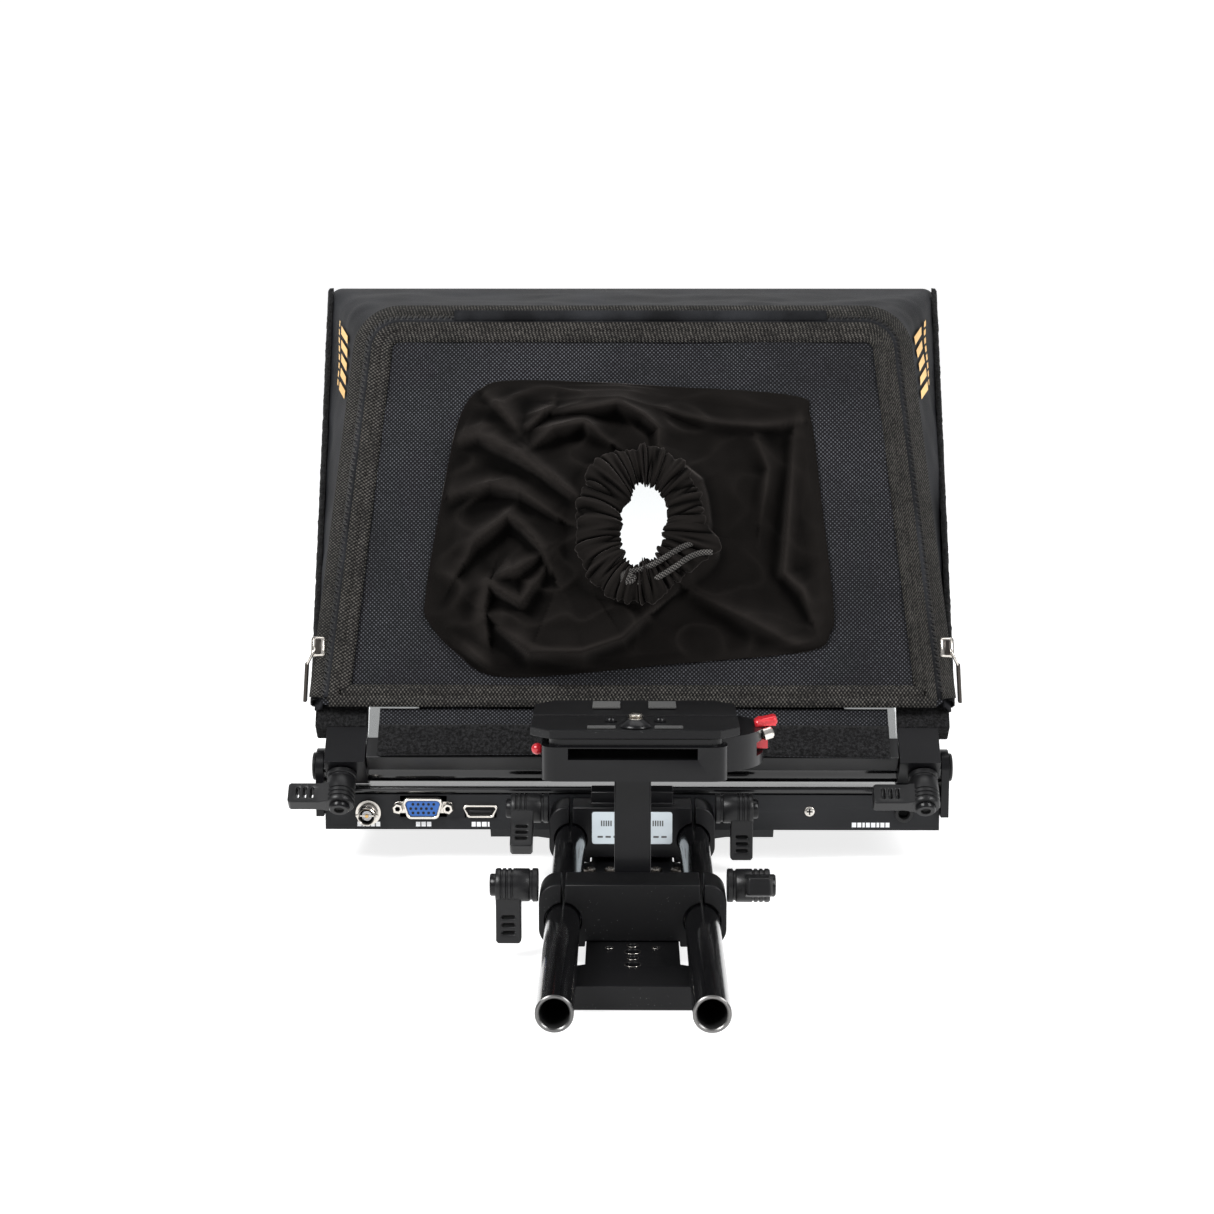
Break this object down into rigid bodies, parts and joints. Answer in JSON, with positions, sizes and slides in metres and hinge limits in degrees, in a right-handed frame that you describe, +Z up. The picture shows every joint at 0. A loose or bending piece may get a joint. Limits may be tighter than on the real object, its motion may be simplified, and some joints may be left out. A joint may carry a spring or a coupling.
{
  "type": "teleprompter",
  "caption": "Camera teleprompter: flat monitor on twin rods, 45 degree mirror-glass frame with fabric hood and velvet lens sock, quick-release camera plate",
  "frame": {"origin": "on the flat underside of the base plate, under its wide rear head", "axes": "+Y points forwards from the camera operator to the talent along the rods, +X to the operator's right, +Z up out of the camera plate"},
  "size_m": [0.34, 0.5405, 0.2796],
  "materials": {
    "black_anodised": "black anodised aluminium, satin with fine speckle on the top faces",
    "gloss_black": "glossy black tube",
    "black_plastic": "moulded black plastic, satin",
    "charcoal": "charcoal powder coat",
    "nickel": "bright nickel plate",
    "grey_rubber": "ribbed grey rubber",
    "red_metal": "red anodised",
    "blue_plastic": "moulded blue plastic",
    "navy_nylon": "ballistic nylon weave",
    "velvet": "black velvet with a soft nap",
    "screen": "dark glossy screen",
    "board": "green circuit board",
    "tinted_glass": "partly mirrored glass"
  },
  "bodies": {
    "base": {"base_plate": "black_anodised", "near_rod_clamp": "black_anodised", "riser_bar": "black_anodised", "quick_release_base": "black_anodised"},
    "near_left_lever": {"near_left_lever": "black_plastic", "near_left_lever_screw": "black_anodised"},
    "near_right_lever": {"near_right_lever": "black_plastic", "near_right_lever_screw": "black_anodised"},
    "camera_plate": {"quick_release_plate": "black_anodised", "left_camera_pad": "grey_rubber", "right_camera_pad": "grey_rubber"},
    "camera_screw": {"camera_screw": "nickel"},
    "release_lever": {"quick_release_lever": "red_metal"},
    "release_pin": {"quick_release_pin": "red_metal"},
    "monitor": {"left_rod": "gloss_black", "right_rod": "gloss_black", "far_rod_clamp": "black_anodised", "monitor_rear_shell": "charcoal", "monitor_bezel": "black_plastic", "lcd_panel": "screen", "monitor_board": "board", "video_socket": "nickel", "monitor_input_socket": "nickel", "monitor_input_insert": "blue_plastic", "digital_video_socket": "nickel", "power_socket": "black_plastic", "shell_screw": "nickel", "monitor_mount_plate": "black_anodised", "left_ear": "black_anodised", "right_ear": "black_anodised", "left_tube_cap": "black_plastic", "right_tube_cap": "black_plastic", "cross_tube": "gloss_black"},
    "far_left_lever": {"far_left_lever": "black_plastic", "far_left_lever_screw": "black_anodised"},
    "far_right_lever": {"far_right_lever": "black_plastic", "far_right_lever_screw": "black_anodised"},
    "glass_frame": {"left_hinge_block": "black_anodised", "right_hinge_block": "black_anodised", "left_frame_rail": "black_plastic", "right_frame_rail": "black_plastic", "bottom_frame_rail": "black_plastic", "top_frame_rail": "black_plastic", "beamsplitter_glass": "tinted_glass", "hood_left_side": "navy_nylon", "hood_right_side": "navy_nylon", "hood_top": "navy_nylon", "hood_rear_panel": "navy_nylon", "lens_sock": "velvet", "hood_flap": "navy_nylon", "drawstring_upper": "navy_nylon", "drawstring_lower": "navy_nylon"},
    "frame_left_lever": {"frame_left_lever": "black_plastic", "frame_left_lever_screw": "black_anodised"},
    "frame_right_lever": {"frame_right_lever": "black_plastic", "frame_right_lever_screw": "black_anodised"},
    "left_zip_slider": {"left_zip_slider": "nickel"},
    "right_zip_slider": {"right_zip_slider": "nickel"},
    "left_pull_tab": {"left_pull_tab": "nickel"},
    "right_pull_tab": {"right_pull_tab": "nickel"}
  },
  "joints": [
    {"name": "rod_slide", "type": "slide", "parent": "base", "child": "monitor", "axis": [0, 1, 0], "range_m": [-0.03, 0.1]},
    {"name": "near_left_lever_turn", "type": "hinge", "parent": "base", "child": "near_left_lever", "pos_m": [-0.05, 0.0562, 0.0325], "axis": [1, 0, 0], "range_deg": [-90, 90]},
    {"name": "near_right_lever_turn", "type": "hinge", "parent": "base", "child": "near_right_lever", "pos_m": [0.05, 0.0562, 0.0325], "axis": [1, 0, 0], "range_deg": [-90, 90]},
    {"name": "camera_plate_lift", "type": "slide", "parent": "base", "child": "camera_plate", "axis": [0, 0, 1], "range_m": [0, 0.02]},
    {"name": "camera_screw_turn", "type": "hinge", "parent": "camera_plate", "child": "camera_screw", "pos_m": [0.0012, 0.067, 0.103], "axis": [0, 0, 1], "continuous": true},
    {"name": "release_lever_turn", "type": "hinge", "parent": "base", "child": "release_lever", "pos_m": [0.03, 0.092, 0.088], "axis": [0, 0, 1], "range_deg": [0, 35]},
    {"name": "release_pin_press", "type": "slide", "parent": "base", "child": "release_pin", "axis": [1, 0, 0], "range_m": [0, 0.002], "stiffness_N_per_m": 500, "springref_m": -0.002},
    {"name": "far_left_lever_turn", "type": "hinge", "parent": "monitor", "child": "far_left_lever", "pos_m": [-0.05, 0.197, 0.0325], "axis": [1, 0, 0], "range_deg": [-90, 70]},
    {"name": "far_right_lever_turn", "type": "hinge", "parent": "monitor", "child": "far_right_lever", "pos_m": [0.05, 0.197, 0.0325], "axis": [1, 0, 0], "range_deg": [-140, 20]},
    {"name": "frame_tilt", "type": "hinge", "parent": "monitor", "child": "glass_frame", "pos_m": [0, 0.2223, 0.0478], "axis": [1, 0, 0], "range_deg": [-45, 5]},
    {"name": "frame_left_lever_turn", "type": "hinge", "parent": "glass_frame", "child": "frame_left_lever", "pos_m": [-0.144, 0.20109, 0.04073], "axis": [0, 0.7071, 0.7071], "range_deg": [0, 170]},
    {"name": "frame_right_lever_turn", "type": "hinge", "parent": "glass_frame", "child": "frame_right_lever", "pos_m": [0.144, 0.20109, 0.04073], "axis": [0, 0.7071, 0.7071], "range_deg": [0, 170]},
    {"name": "left_zip_run", "type": "slide", "parent": "glass_frame", "child": "left_zip_slider", "axis": [0.0926, 0.3722, 0.9235], "range_m": [0, 0.16]},
    {"name": "right_zip_run", "type": "slide", "parent": "glass_frame", "child": "right_zip_slider", "axis": [-0.0926, 0.3722, 0.9235], "range_m": [0, 0.16]},
    {"name": "left_pull_swing", "type": "hinge", "parent": "left_zip_slider", "child": "left_pull_tab", "pos_m": [-0.1626, 0.225, 0.1076], "axis": [0, 1, 0], "range_deg": [0, 150]},
    {"name": "right_pull_swing", "type": "hinge", "parent": "right_zip_slider", "child": "right_pull_tab", "pos_m": [0.1626, 0.225, 0.1076], "axis": [0, -1, 0], "range_deg": [0, 150]}
  ]
}
